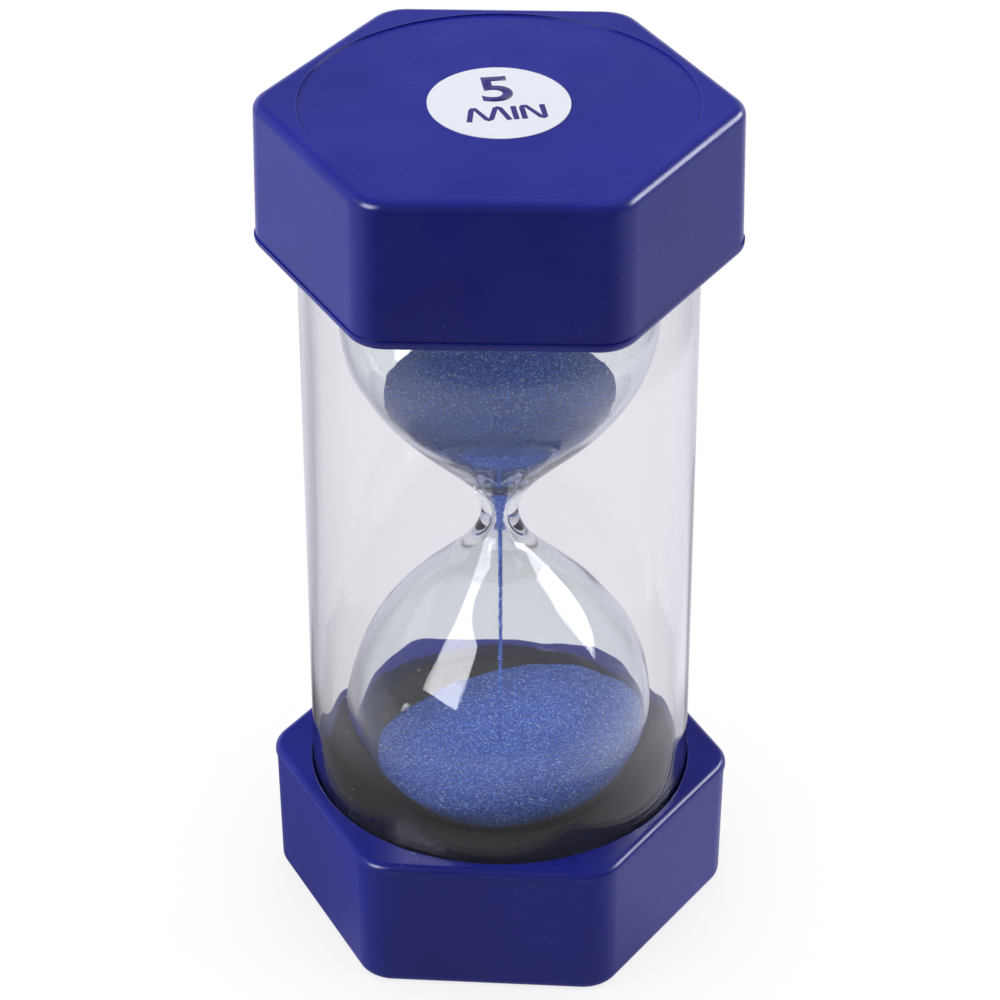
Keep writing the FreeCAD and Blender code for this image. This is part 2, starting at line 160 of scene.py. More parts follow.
def span(tree, value, low, high, start=0.0, end=1.0, smooth=False):
    node = addNode(tree, "ShaderNodeMapRange")
    node.interpolation_type = "SMOOTHSTEP" if smooth else "LINEAR"
    for name, number in (("From Min", low), ("From Max", high), ("To Min", start), ("To Max", end)):
        feed(tree, number, node.inputs[name])
    feed(tree, value, node.inputs["Value"])
    return node.outputs["Result"]


def calc(tree, operation, first, second=0.0):
    node = addNode(tree, "ShaderNodeMath", operation=operation)
    feed(tree, first, node.inputs[0])
    feed(tree, second, node.inputs[1])
    return node.outputs["Value"]


def blendColors(tree, amount, first, second):
    node = addNode(tree, "ShaderNodeMix", data_type="RGBA")
    feed(tree, amount, node.inputs["Factor"])
    feed(tree, first, node.inputs[6])
    feed(tree, second, node.inputs[7])
    return node.outputs[2]


def bump(tree, height, strength, depth, under=None):
    node = addNode(tree, "ShaderNodeBump")
    node.inputs["Strength"].default_value = strength
    node.inputs["Distance"].default_value = depth
    feed(tree, height, node.inputs["Height"])
    if under:
        feed(tree, under, node.inputs["Normal"])
    return node.outputs["Normal"]


capPlastic = {
    "color": (0.0060, 0.0085, 0.205, 1),
    "paler": (0.0085, 0.0125, 0.250, 1),
    # paler colour for dust specks and scratches, and for the painted highlight line along the recess edge
    "wearAndRingHighlight": (0.06, 0.07, 0.42, 1),
    "roughness": 0.24,
    "texture": 0.55 * mm,
    "textureDepth": 0.010 * mm,
    "speckSpacing": 5.0 * mm,
    "speckSize": 0.030,
    "ringRadius": 33.8 * mm,
    "ringWidth": 0.16 * mm,
}


def capFinish():
    look = capPlastic
    tree, shader, material = newMaterial("moulded blue plastic")
    tone = blendColors(tree, span(tree, grain(tree, 28 * mm, 3), 0.35, 0.65), look["color"], look["paler"])
    # dust specks and a few fine scratches
    distance, parts = cells(tree, look["speckSpacing"])
    speck = calc(tree, "LESS_THAN", distance, look["speckSize"])
    scratchLine = calc(tree, "ABSOLUTE", calc(tree, "SUBTRACT", grain(tree, 9 * mm, 3, 0.6, (1, 7, 2)), 0.5))
    scratch = span(tree, scratchLine, 0.0, 0.0022, 1.0, 0.0)
    where = span(tree, grain(tree, 7 * mm, 1), 0.64, 0.68)
    scratch = calc(tree, "MULTIPLY", scratch, where)
    # a paler line painted along the edge of the round recess: a painted highlight where the step's edge catches
    # the light, not wear
    split = addNode(tree, "ShaderNodeSeparateXYZ")
    feed(tree, places(tree), split.inputs["Vector"])
    reach = calc(tree, "POWER", split.outputs["X"], 2.0)
    reach = calc(tree, "ADD", reach, calc(tree, "POWER", split.outputs["Y"], 2.0))
    reach = calc(tree, "SQRT", reach)
    offRing = calc(tree, "ABSOLUTE", calc(tree, "SUBTRACT", reach, look["ringRadius"]))
    paintedRingHighlight = span(tree, offRing, 0.0, look["ringWidth"], 0.55, 0.0, True)
    faceOnly = addNode(tree, "ShaderNodeSeparateXYZ")
    normal = addNode(tree, "ShaderNodeTexCoord").outputs["Normal"]
    feed(tree, normal, faceOnly.inputs["Vector"])
    flat = calc(tree, "ABSOLUTE", faceOnly.outputs["Z"])
    atFace = calc(tree, "ABSOLUTE", calc(tree, "SUBTRACT", split.outputs["Z"], neckHeight))
    paintedRingHighlight = calc(tree, "MULTIPLY", paintedRingHighlight, span(tree, flat, 0.8, 0.95))
    paintedRingHighlight = calc(tree, "MULTIPLY", paintedRingHighlight, calc(tree, "GREATER_THAN", atFace, 70 * mm))
    # dust specks and scratches are real wear, the ring line is a painted highlight, and all take the same paler
    # colour
    wearAndHighlight = calc(tree, "MAXIMUM", calc(tree, "MAXIMUM", speck, calc(tree, "MULTIPLY", scratch, 0.5)), paintedRingHighlight)
    feed(tree, blendColors(tree, wearAndHighlight, tone, look["wearAndRingHighlight"]), shader.inputs["Base Color"])
    fine = bump(tree, grain(tree, look["texture"], 3, 0.6), 0.5, look["textureDepth"])
    uneven = bump(tree, grain(tree, 16 * mm, 1), 0.5, 0.12 * mm, fine)
    feed(tree, bump(tree, wearAndHighlight, 0.5, 0.02 * mm, uneven), shader.inputs["Normal"])
    feed(tree, span(tree, grain(tree, 12 * mm, 4), 0.3, 0.7, look["roughness"] - 0.04, look["roughness"] + 0.06),
         shader.inputs["Roughness"])
    shader.inputs["IOR"].default_value = 1.5
    return material


def clearFinish(name, tint, hazier, ior):
    tree, shader, material = newMaterial(name)
    feed(tree, blendColors(tree, grain(tree, 30 * mm, 2), tint, hazier), shader.inputs["Base Color"])
    shader.inputs["Roughness"].default_value = 0.0
    shader.inputs["IOR"].default_value = ior
    shader.inputs["Transmission Weight"].default_value = 1.0
    return material


blueSand = {
    "deep": (0.035, 0.095, 0.48, 1),
    "middle": (0.080, 0.20, 0.82, 1),
    "bright": (0.20, 0.38, 1.0, 1),
    # pale colour painted on a few grains as sparkles: painted glints
    "paintedGlint": (0.55, 0.72, 1.0, 1),
    "grain": 0.26 * mm,
    "paintedGlintShare": 0.035,
    "relief": 0.10 * mm,
}


def sandFinish():
    look = blueSand
    tree, shader, material = newMaterial("blue sand")
    distance, parts = cells(tree, look["grain"])
    body = blendColors(tree, parts["Red"], look["deep"], look["middle"])
    isBright = calc(tree, "GREATER_THAN", parts["Blue"], 0.78)
    body = blendColors(tree, isBright, body, look["bright"])
    # a few grains are painted pale as sparkles: painted glints
    isPaintedGlint = calc(tree, "GREATER_THAN", parts["Green"], 1 - look["paintedGlintShare"])
    feed(tree, blendColors(tree, isPaintedGlint, body, look["paintedGlint"]), shader.inputs["Base Color"])
    feed(tree, bump(tree, distance, 0.6, -look["relief"]), shader.inputs["Normal"])
    shader.inputs["Roughness"].default_value = 0.6
    return material


def foamFinish():
    tree, shader, material = newMaterial("black foam")
    pores = grain(tree, 0.5 * mm, 3, 0.7)
    tone = blendColors(tree, span(tree, pores, 0.35, 0.7), (0.009, 0.009, 0.0085, 1), (0.030, 0.029, 0.027, 1))
    distance, parts = cells(tree, 2.3 * mm)
    dust = calc(tree, "LESS_THAN", distance, 0.05)
    feed(tree, blendColors(tree, dust, tone, (0.5, 0.5, 0.48, 1)), shader.inputs["Base Color"])
    feed(tree, bump(tree, pores, 0.8, 0.25 * mm), shader.inputs["Normal"])
    shader.inputs["Roughness"].default_value = 0.9
    return material


def paperFinish():
    tree, shader, material = newMaterial("label paper")
    tone = blendColors(tree, grain(tree, 1.6 * mm, 3), (0.69, 0.705, 0.785, 1), (0.72, 0.735, 0.815, 1))
    feed(tree, tone, shader.inputs["Base Color"])
    feed(tree, bump(tree, grain(tree, 0.6 * mm), 0.2, 0.01 * mm), shader.inputs["Normal"])
    shader.inputs["Roughness"].default_value = 0.5
    return material


def inkFinish():
    tree, shader, material = newMaterial("printing ink")
    tone = blendColors(tree, grain(tree, 0.8 * mm), (0.020, 0.014, 0.15, 1), (0.034, 0.024, 0.20, 1))
    feed(tree, tone, shader.inputs["Base Color"])
    shader.inputs["Roughness"].default_value = 0.45
    return material


def stopperFinish():
    tree, shader, material = newMaterial("rubber stopper")
    tone = blendColors(tree, grain(tree, 1.1 * mm, 3), (0.50, 0.47, 0.42, 1), (0.64, 0.61, 0.55, 1))
    feed(tree, tone, shader.inputs["Base Color"])
    feed(tree, bump(tree, grain(tree, 0.5 * mm), 0.4, 0.05 * mm), shader.inputs["Normal"])
    shader.inputs["Roughness"].default_value = 0.7
    return material


print("finishes")
finishes = {
    "cap": capFinish(),
    "tube": clearFinish("clear tube plastic", (0.915, 0.915, 0.93, 1), (0.905, 0.905, 0.925, 1), 1.46),
    "glass": clearFinish("blown glass", (0.975, 0.99, 1.0, 1), (0.965, 0.985, 0.995, 1), 1.5),
    "glue": clearFinish("dried glue", (0.98, 0.98, 0.97, 1), (0.95, 0.95, 0.95, 1), 1.45),
    "sand": sandFinish(),
    "foam": foamFinish(),
    "paper": paperFinish(),
    "ink": inkFinish(),
    "stopper": stopperFinish(),
}
carriedOver = {
    "upper_cap": "cap", "lower_cap": "cap", "upper_cover_plate": "cap", "lower_cover_plate": "cap",
    "upper_label": "paper", "lower_label": "paper", "filling_plug": "stopper",
}
for node, finish in carriedOver.items():
    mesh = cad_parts[node].data
    mesh.materials.clear()
    mesh.materials.append(finishes[finish])


# the blown glass: a shoulder line and a dome outside, and a wall's thickness inside
bulb = {
    "wall": 1.2 * mm,
    "neckRadius": 3.4 * mm,
    "neckEase": 10 * mm,
    "shoulderLength": 41 * mm,
    "shoulderEase": 21 * mm,
    "passage": 0.8 * mm,
    "funnelLength": 10 * mm,
    "funnelEase": 8 * mm,
    "funnelBlend": 1.0 * mm,
    "outerSteps": 96,
    "innerSteps": 56,
    "funnelSteps": 18,
    "domeSteps": 26,
    "sides": 144,
    "rippleFrom": 0.8 * mm,
    "rippleTo": 10 * mm,
    "rippleStep": 0.95 * mm,
    "rippleDepth": 0.09 * mm,
    "waveWidth": 11 * mm,
    "waveDepth": 0.10 * mm,
}
bulbRadius = glassHigh.x
crownDistance = neckHeight - glassLow.z


def bezierPoint(poles, t):
    a, b, c, d = poles
    s = 1 - t
    return a * s ** 3 + b * 3 * s * s * t + c * 3 * s * t * t + d * t ** 3


def bezierLine(poles, steps):
    return [bezierPoint(poles, i / steps) for i in range(steps + 1)]


def shoulderPoles():
    waist = Vector((bulb["neckRadius"], 0))
    widest = Vector((bulbRadius, bulb["shoulderLength"]))
    return [waist, waist + Vector((0, bulb["neckEase"])),
            widest - Vector((0, bulb["shoulderEase"])), widest]


def polesBeyond(poles, t):
    # the part of a Bezier line after t, by halving its handles
    a, b, c, d = poles
    bc, cd = b.lerp(c, t), c.lerp(d, t)
    bcd = bc.lerp(cd, t)
    return [a.lerp(b, t).lerp(bc, t).lerp(bcd, t), bcd, cd, d]


def wallPoles(wall):
    # inner line of the thin glass, from the funnel to the widest place
    outer = shoulderPoles()
    low, high = 0.0, 1.0
    for halving in range(40):
        middle = (low + high) / 2
        if bezierPoint(outer, middle).y < bulb["funnelLength"]:
            low = middle
        else:
            high = middle
    start, startHandle, endHandle, end = polesBeyond(outer, low)
    along = (startHandle - start).normalized()
    newStart = start + Vector((-along.y, along.x)) * wall
    newEnd = end - Vector((wall, 0))
    shrink = (newEnd - newStart).length / (end - start).length
    return [newStart, newStart + (startHandle - start) * shrink,
            newEnd + (endHandle - end) * shrink, newEnd]


def innerLine(wall, passage):
    # from the middle of the neck, by the funnel, to the widest place
    thin = wallPoles(wall)
    narrow = Vector((passage, 0))
    along = (thin[1] - thin[0]).normalized()
    funnel = [narrow, narrow + Vector((0, bulb["funnelEase"])),
              thin[0] - along * bulb["funnelBlend"], thin[0]]
    return bezierLine(funnel, bulb["funnelSteps"]) + bezierLine(thin, bulb["innerSteps"])[1:]


def domeLine(inset, stopRadius=0.0):
    radius = bulbRadius - inset
    height = crownDistance - bulb["shoulderLength"] - inset
    stop = math.acos(stopRadius / radius)
    line = []
    for step in range(1, bulb["domeSteps"] + 1):
        angle = stop * step / bulb["domeSteps"]
        line.append(Vector((radius * math.cos(angle), bulb["shoulderLength"] + height * math.sin(angle))))
    return line


def rippled(line):
    # rings that the glass blower's tool leaves above the neck
    low, high = bulb["rippleFrom"], bulb["rippleTo"]
    result = []
    for point in line:
        share = (point.y - low) / (high - low)
        swell = math.sin(math.pi * share) if 0 < share < 1 else 0.0
        wave = math.sin(fullTurn * point.y / bulb["rippleStep"])
        result.append(Vector((point.x + bulb["rippleDepth"] * swell * wave, point.y)))
    return result


def fromNeck(line, direction):
    return [Vector((point.x, neckHeight + direction * point.y)) for point in line]


def buildGlass():
    hole = plugHigh.x
    outside = bezierLine(shoulderPoles(), bulb["outerSteps"])
    inside = innerLine(bulb["wall"], bulb["passage"])
    upOut = fromNeck(rippled(outside) + domeLine(0, hole), 1)
    upIn = fromNeck(inside + domeLine(bulb["wall"], hole), 1)
    downOut = fromNeck(outside + domeLine(0), -1)
    downIn = fromNeck(inside + domeLine(bulb["wall"]), -1)
    shell = spinOutline(downOut[::-1] + upOut[1:] + upIn[::-1] + downIn[1:], bulb["sides"])
    for vertex in shell.data.vertices:
        place = vertex.co.copy()
        reach = math.hypot(place.x, place.y)
        if reach < 1.5 * mm:
            continue
        distance = abs(place.z - neckHeight)
        fade = min(1.0, reach / (12 * mm)) * min(1.0, (crownDistance - distance) / (4 * mm))
        isInside = reach < innerRadiusAt(distance, 0) + 0.3 * mm
        depth = bulb["waveDepth"] * (0.35 if isInside else 1.0) * fade
        push = unevenness(place, bulb["waveWidth"], depth, 7.0 if isInside else 0.0)
        push += unevenness(place, bulb["waveWidth"] / 3, depth * 0.25, 3.0)
        outwards = Vector((place.x, place.y, 0)).normalized()
        vertex.co += outwards * (push - (depth * 0.8 if not isInside else 0))
    return shell


roomLines = {}


def innerRadiusAt(distance, clearance):
    # inner radius of the glass, less a clearance, at a distance from the middle of the neck
    if clearance not in roomLines:
        roomLines[clearance] = innerLine(bulb["wall"] + clearance, bulb["passage"] - clearance)
    if distance >= bulb["shoulderLength"]:
        wall = bulb["wall"] + clearance
        height = crownDistance - bulb["shoulderLength"] - wall
        rise = min(1.0, (distance - bulb["shoulderLength"]) / height)
        return (bulbRadius - wall) * math.sqrt(1 - rise * rise)
    line = roomLines[clearance]
    for before, after in zip(line, line[1:]):
        if distance <= after.y:
            return before.x + (after.x - before.x) * (distance - before.y) / (after.y - before.y)
    return line[-1].x


print("glass")
glassBulbs = finishPiece(buildGlass(), "glassBulbs", "glass")
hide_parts("glass_bulbs")


viewingTube = {
    "wall": 1.6 * mm,
    "edge": 0.15 * mm,
    "sides": 192,
    "steps": 70,
    "waveWidth": 6 * mm,
    "waveLength": 45 * mm,
    "waveDepth": 0.035 * mm,
}


def buildTube():
    outer, inner = tubeHigh.x, tubeHigh.x - viewingTube["wall"]
    edge, low, high = viewingTube["edge"], tubeLow.z, tubeHigh.z
    rise = (high - low - 2 * edge) / viewingTube["steps"]
    levels = [low + edge + rise * step for step in range(viewingTube["steps"] + 1)]
    outline = [Vector((outer - edge, low))]
    outline += [Vector((outer, level)) for level in levels]
    outline += [Vector((outer - edge, high)), Vector((inner + edge, high))]
    outline += [Vector((inner, level)) for level in reversed(levels)]
    outline.append(Vector((inner + edge, low)))
    shell = spinOutline(outline, viewingTube["sides"], closed=True)
    # long shallow waves, as in drawn plastic
    width, length = viewingTube["waveWidth"], viewingTube["waveLength"]
    for vertex in shell.data.vertices:
        place = vertex.co.copy()
        stretched = Vector((place.x / width, place.y / width, place.z / length))
        isInside = math.hypot(place.x, place.y) < (outer + inner) / 2
        push = viewingTube["waveDepth"] * noise.noise(stretched + Vector((9.0 if isInside else 0.0, 0, 0)))
        outwards = Vector((place.x, place.y, 0)).normalized()
        vertex.co += outwards * (push - (0 if isInside else viewingTube["waveDepth"]))
    makeActive(shell)
    bpy.ops.object.shade_smooth_by_angle(angle=math.radians(30))
    return shell


print("tube")
clearTube = finishPiece(buildTube(), "clearTube", "tube")
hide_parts("viewing_tube")


foamPad = {
    "sides": 128,
    "ringStep": 0.9 * mm,
    "roundness": 0.8 * mm,
    "gap": 0.12 * mm,
    "lumpWidth": 4 * mm,
    "lumpDepth": 0.28 * mm,
}


def buildFoamPad(node, upwards):
    # a disc with a rounded rim, hollowed to take the end of a bulb
    low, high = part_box(node)
    floor, top = (low.z, high.z) if upwards else (high.z, low.z)
    direction = 1 if upwards else -1
    thick = abs(top - floor)
    radius = high.x
    edge = foamPad["roundness"]
    gap = foamPad["gap"]
    domeRadius = bulbRadius + gap
    domeHeight = crownDistance - bulb["shoulderLength"] + gap
    domeFoot = crownDistance + gap - abs(neckHeight - floor)  # hollow's lowest place, below the floor if positive
    outline = [Vector((0, 0)), Vector((radius * 0.5, 0)), Vector((radius, 0))]
    for step in range(1, 9):
        outline.append(Vector((radius, (thick - edge) * step / 8)))
    for step in range(1, 5):
        angle = math.pi / 2 * step / 4
        outline.append(Vector((radius - edge + edge * math.cos(angle), thick - edge + edge * math.sin(angle))))
    # height of the dome's middle above the floor, and where the hollow meets the top
    middle = -domeFoot + domeHeight
    mouthSine = (middle - thick) / domeHeight
    mouth = math.acos(max(-1.0, min(1.0, mouthSine)))
    mouthRadius = domeRadius * math.sin(mouth)
    flat = radius - edge - mouthRadius
    count = max(2, int(flat / foamPad["ringStep"]))
    for step in range(1, count):
        outline.append(Vector((radius - edge - flat * step / count, thick)))
    turns = int(domeRadius * mouth / foamPad["ringStep"])
    for step in range(turns + 1):
        angle = mouth * (1 - step / turns)
        outline.append(Vector((domeRadius * math.sin(angle), middle - domeHeight * math.cos(angle))))
    placed = [Vector((point.x, floor + direction * point.y)) for point in outline]
    pad = spinOutline(placed, foamPad["sides"])
    for vertex in pad.data.vertices:
        place = vertex.co.copy()
        height = abs(place.z - floor)
        if height < 0.5 * mm:
            continue
        reach = math.hypot(place.x, place.y)
        sink = foamPad["lumpDepth"] * (0.5 + 0.5 * noise.noise(place / foamPad["lumpWidth"]))
        sink += 0.25 * foamPad["lumpDepth"] * abs(noise.noise(place / (foamPad["lumpWidth"] / 4)))
        if reach > radius - edge:
            vertex.co -= Vector((place.x, place.y, 0)).normalized() * sink * 0.4
        vertex.co.z -= direction * sink
    return pad


print("foam")
for node, name, upwards in (("lower_foam_pad", "lowerFoamPad", True), ("upper_foam_pad", "upperFoamPad", False)):
    pad = finishPiece(buildFoamPad(node, upwards), name, "foam")
    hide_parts(node)


sand = {
    "clearance": 0.06 * mm,
    "rings": 120,
    "sides": 220,
    "wallShare": 0.36,
    "lowerDepth": 14.9 * mm,
    "tiltSide": math.radians(10.0),
    "tiltFront": math.radians(6.3),
    "craterRadius": 13 * mm,
    "craterDepth": 1.8 * mm,
    "upperLevel": 24.4 * mm,
    "upperSlope": math.radians(24),
    "stemRadius": 0.45 * mm,
    "stemSpread": 1.2,
}


def roughSand(x, y, seed):
    place = Vector((x, y, seed * mm))
    height = unevenness(place, 7 * mm, 0.24 * mm)
    height += unevenness(place, 1.6 * mm, 0.10 * mm)
    return height + unevenness(place, 0.5 * mm, 0.06 * mm)


def lowerSurface(x, y):
    height = glassLow.z + bulb["wall"] + sand["lowerDepth"]
    height += x * math.tan(sand["tiltSide"]) - y * math.tan(sand["tiltFront"])
    share = math.hypot(x, y) / sand["craterRadius"]
    if share < 1:
        height -= sand["craterDepth"] * (1 - share * share)
    return height + roughSand(x, y, 5)


def upperSurface(x, y):
    rim = innerRadiusAt(sand["upperLevel"], sand["clearance"])
    fall = (rim - math.hypot(x, y)) * math.tan(sand["upperSlope"])
    return neckHeight + sand["upperLevel"] - fall + roughSand(x, y, 9)


def contactAt(angle, surface, side):
    # where the sand meets the glass in this direction: side is 1 above the neck, -1 below
    radius = innerRadiusAt(sand["upperLevel"], sand["clearance"])
    for trial in range(30):
        height = surface(radius * math.cos(angle), radius * math.sin(angle))
        radius = (radius + innerRadiusAt(side * (height - neckHeight), sand["clearance"])) / 2
    return radius, height


def buildSand(surface, side, bottomHeight):
    # a ball whose lower part is laid on the glass and whose upper part is laid on the surface
    clearSelection()
    bpy.ops.mesh.primitive_uv_sphere_add(segments=sand["sides"], ring_count=sand["rings"], radius=1)
    heap = bpy.context.object
    contacts = {}
    for vertex in heap.data.vertices:
        share = math.acos(max(-1.0, min(1.0, -vertex.co.z))) / math.pi
        angle = math.atan2(vertex.co.y, vertex.co.x)
        key = round(angle, 4)
        if key not in contacts:
            contacts[key] = contactAt(angle, surface, side)
        radius, height = contacts[key]
        if share < sand["wallShare"]:
            rise = share / sand["wallShare"]
            level = bottomHeight + (height - bottomHeight) * (rise ** 2 if side < 0 else rise)
            reach = innerRadiusAt(side * (level - neckHeight), sand["clearance"])
            if side > 0:
                reach = min(reach, sand["stemRadius"] + (level - bottomHeight) * sand["stemSpread"])
            reach = 0 if share < 1e-4 else reach
        else:
            reach = radius * (1 - (share - sand["wallShare"]) / (1 - sand["wallShare"]))
            level = surface(reach * math.cos(angle), reach * math.sin(angle))
        vertex.co = (reach * math.cos(angle), reach * math.sin(angle), level)
    makeActive(heap)
    bpy.ops.object.shade_smooth()
    return heap


print("sand")
lowerBottom = glassLow.z + bulb["wall"] + sand["clearance"]
lowerSand = finishPiece(buildSand(lowerSurface, -1, lowerBottom), "lowerSand", "sand")
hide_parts("lower_sand")
upperSand = finishPiece(buildSand(upperSurface, 1, neckHeight), "upperSand", "sand")
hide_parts("upper_sand")


stream = {
    "mouthRadius": 0.72 * mm,
    "mouthLength": 4.5 * mm,
    "topRadius": 0.36 * mm,
    "bottomRadius": 0.16 * mm,
    "steps": 130,
    "sides": 14,
    "grains": 520,
    "grainRadius": 0.12 * mm,
    "spread": 0.42 * mm,
    "seed": 11,
}


def streamRadiusAt(share):
    # share is 0 at the neck and 1 where the sand lands
    down = share * (neckHeight - landing)
    body = stream["topRadius"] + (stream["bottomRadius"] - stream["topRadius"]) * share
    swell = (stream["mouthRadius"] - body) * math.exp(-(down / stream["mouthLength"] * 2) ** 1.5)
    return body + swell


def gatherGrains(spots, radius, chance):
    # one small ball, copied to every spot, each copy with its own mesh, then joined
    clearSelection()
    bpy.ops.mesh.primitive_ico_sphere_add(subdivisions=1, radius=radius)
    first = bpy.context.object
    grains = [first]
    for number, spot in enumerate(spots):
        ball = first
        if number:
            ball = first.copy()
            ball.data = first.data.copy()
            bpy.context.scene.collection.objects.link(ball)
            grains.append(ball)
        size = chance.uniform(0.6, 1.25)
        turn = Matrix.Rotation(chance.uniform(0, fullTurn), 4, Vector((chance.random(), chance.random(), 1)))
        squeeze = Matrix.Diagonal((size, size * chance.uniform(0.7, 1.0), size * chance.uniform(0.8, 1.2), 1))
        ball.matrix_world = Matrix.Translation(spot) @ turn @ squeeze
    for ball in grains:
        ball.select_set(True)
    bpy.context.view_layer.objects.active = first
    bpy.ops.object.join()
    return bpy.context.object


def buildStream():
    chance = random.Random(stream["seed"])
    outline = [Vector((0, neckHeight))]
    for step in range(stream["steps"] + 1):
        share = step / stream["steps"]
        outline.append(Vector((streamRadiusAt(share), neckHeight + (landing - neckHeight) * share)))
    outline.append(Vector((0, landing)))
    core = spinOutline(outline, stream["sides"])
    for vertex in core.data.vertices:
        if math.hypot(vertex.co.x, vertex.co.y) > 0.05 * mm:
            push = 1 + 0.5 * noise.noise(vertex.co / (0.45 * mm))
            vertex.co.x *= push
            vertex.co.y *= push
        vertex.co.x += unevenness(Vector((0, 0, vertex.co.z)), 9 * mm, 0.12 * mm)
    spots = []
    for number in range(stream["grains"]):
        share = chance.random() ** 0.8
        angle = chance.uniform(0, fullTurn)
        level = neckHeight - 2 * mm + (landing - neckHeight + 2 * mm) * share
        reach = streamRadiusAt(share) * 0.8 + abs(chance.gauss(0, 0.35)) * stream["spread"] * (0.3 + share)
        shift = unevenness(Vector((0, 0, level)), 9 * mm, 0.12 * mm)
        spots.append(Vector((reach * math.cos(angle) + shift, reach * math.sin(angle), level)))
    grains = gatherGrains(spots, stream["grainRadius"], chance)
    makeActive(core)
    grains.select_set(True)
    bpy.ops.object.join()
    return bpy.context.object


print("stream")
landing = lowerSurface(0, 0) + 0.05 * mm
sandStream = finishPiece(buildStream(), "sandStream", "sand")
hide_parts("sand_stream")


clingingGrains = {
    "count": 80,
    "radius": 0.10 * mm,
    "angles": (-75, 25),
    "distances": (25.5 * mm, 37 * mm),
    "seed": 4,
}


def buildClingingGrains():
    # a few grains that stick to the inside of the upper bulb
    chance = random.Random(clingingGrains["seed"])
    spots = []
    for number in range(clingingGrains["count"]):
        angle = math.radians(chance.uniform(*clingingGrains["angles"]))
        low, high = clingingGrains["distances"]
        distance = low + (high - low) * chance.random() ** 1.6
        reach = innerRadiusAt(distance, 0) - 0.22 * mm
        spots.append(Vector((reach * math.cos(angle), reach * math.sin(angle), neckHeight + distance)))
    return gatherGrains(spots, clingingGrains["radius"], chance)


finishPiece(buildClingingGrains(), "clingingGrains", "sand")


lettering = {
    "turn": math.radians(10),
    "thickness": 0.03 * mm,
    "five": {"bold": 0.020, "size": (5.3 * mm, 9.2 * mm), "place": (-0.7 * mm, 4.9 * mm)},
    "min": {"stroke": 0.56 * mm, "size": (13.8 * mm, 5.6 * mm), "place": (1.25 * mm, -3.9 * mm)},
}
# corners of each stroke, in a box 1 wide and 1 high
minStrokes = [
    [(0.0, 0.0), (0.065, 0.86), (0.085, 0.97), (0.115, 0.97), (0.235, 0.14), (0.26, 0.07), (0.295, 0.14),
     (0.385, 0.93), (0.415, 0.99), (0.445, 0.92), (0.53, 0.0)],
    [(0.62, 0.0), (0.62, 1.0)],
    [(0.73, 0.0), (0.73, 0.86), (0.745, 0.97), (0.785, 0.97), (0.945, 0.10), (0.975, 0.03), (1.0, 0.10),
     (1.0, 1.0)],
]


def layFlat(piece, word, height, faceUp):
    # fits the letters to their size, and lays them on a label
    low = Vector((min(v.co.x for v in piece.data.vertices), min(v.co.y for v in piece.data.vertices), 0))
    high = Vector((max(v.co.x for v in piece.data.vertices), max(v.co.y for v in piece.data.vertices), 0))
    wide, tall = word["size"]
    fit = Matrix.Diagonal((wide / (high.x - low.x), tall / (high.y - low.y), 1, 1))
    place = Matrix.Translation((*word["place"], 0))
    turn = Matrix.Rotation(lettering["turn"], 4, "Z")
    over = Matrix.Identity(4) if faceUp else Matrix.Rotation(math.pi, 4, "X")
    middle = Matrix.Translation(-(low + high) / 2)
    piece.matrix_world = Matrix.Translation((0, 0, height)) @ over @ place @ turn @ fit @ middle
    return piece


def buildFive(height, faceUp):
    clearSelection()
    bpy.ops.object.text_add(location=plain)
    piece = bpy.context.object
    piece.data.body = "5"
    piece.data.size = 1
    piece.data.offset = lettering["five"]["bold"]
    bpy.ops.object.convert(target="MESH")
    piece = bpy.context.object
    bpy.ops.object.mode_set(mode="EDIT")
    bpy.ops.mesh.select_all(action="SELECT")
    bpy.ops.mesh.extrude_region_move(TRANSFORM_OT_translate={"value": (0, 0, lettering["thickness"])})
    bpy.ops.mesh.select_all(action="SELECT")
    bpy.ops.mesh.normals_make_consistent(inside=False)
    bpy.ops.object.mode_set(mode="OBJECT")
    return layFlat(piece, lettering["five"], height, faceUp)


def buildMin(height, faceUp):
    # each stroke is one round line, pressed flat
    clearSelection()
    wide, tall = lettering["min"]["size"]
    half = lettering["min"]["stroke"]
    strokes = []
    for corners in minStrokes:
        bpy.ops.mesh.primitive_plane_add(size=mm, location=plain)
        piece = bpy.context.object
        bpy.ops.object.mode_set(mode="EDIT")
        bpy.ops.mesh.select_mode(type="VERT")
        bpy.ops.mesh.merge(type="CENTER")
        bpy.ops.transform.translate(value=(corners[0][0] * wide, corners[0][1] * tall, 0))
        for before, after in zip(corners, corners[1:]):
            step = ((after[0] - before[0]) * wide, (after[1] - before[1]) * tall, 0)
            bpy.ops.mesh.extrude_region_move(TRANSFORM_OT_translate={"value": step})
        bpy.ops.object.mode_set(mode="OBJECT")
        makeActive(piece)
        bpy.ops.object.convert(target="CURVE")
        piece.data.dimensions = "3D"
        piece.data.bevel_depth = half
        piece.data.bevel_resolution = 2
        piece.data.use_fill_caps = True
        bpy.ops.object.convert(target="MESH")
        piece = bpy.context.object
        strokes.append(piece)
    for piece in strokes:
        piece.select_set(True)
    bpy.context.view_layer.objects.active = strokes[0]
    bpy.ops.object.join()
    word = bpy.context.object
    for vertex in word.data.vertices:
        vertex.co.z *= lettering["thickness"] / half
    return layFlat(word, lettering["min"], height, faceUp)


print("lettering")
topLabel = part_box("upper_label")[1].z - 0.005 * mm
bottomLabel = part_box("lower_label")[0].z + 0.005 * mm
finishPiece(buildFive(topLabel, True), "upperFive", "ink")
finishPiece(buildMin(topLabel, True), "upperMin", "ink")
finishPiece(buildFive(bottomLabel, False), "lowerFive", "ink")
finishPiece(buildMin(bottomLabel, False), "lowerMin", "ink")


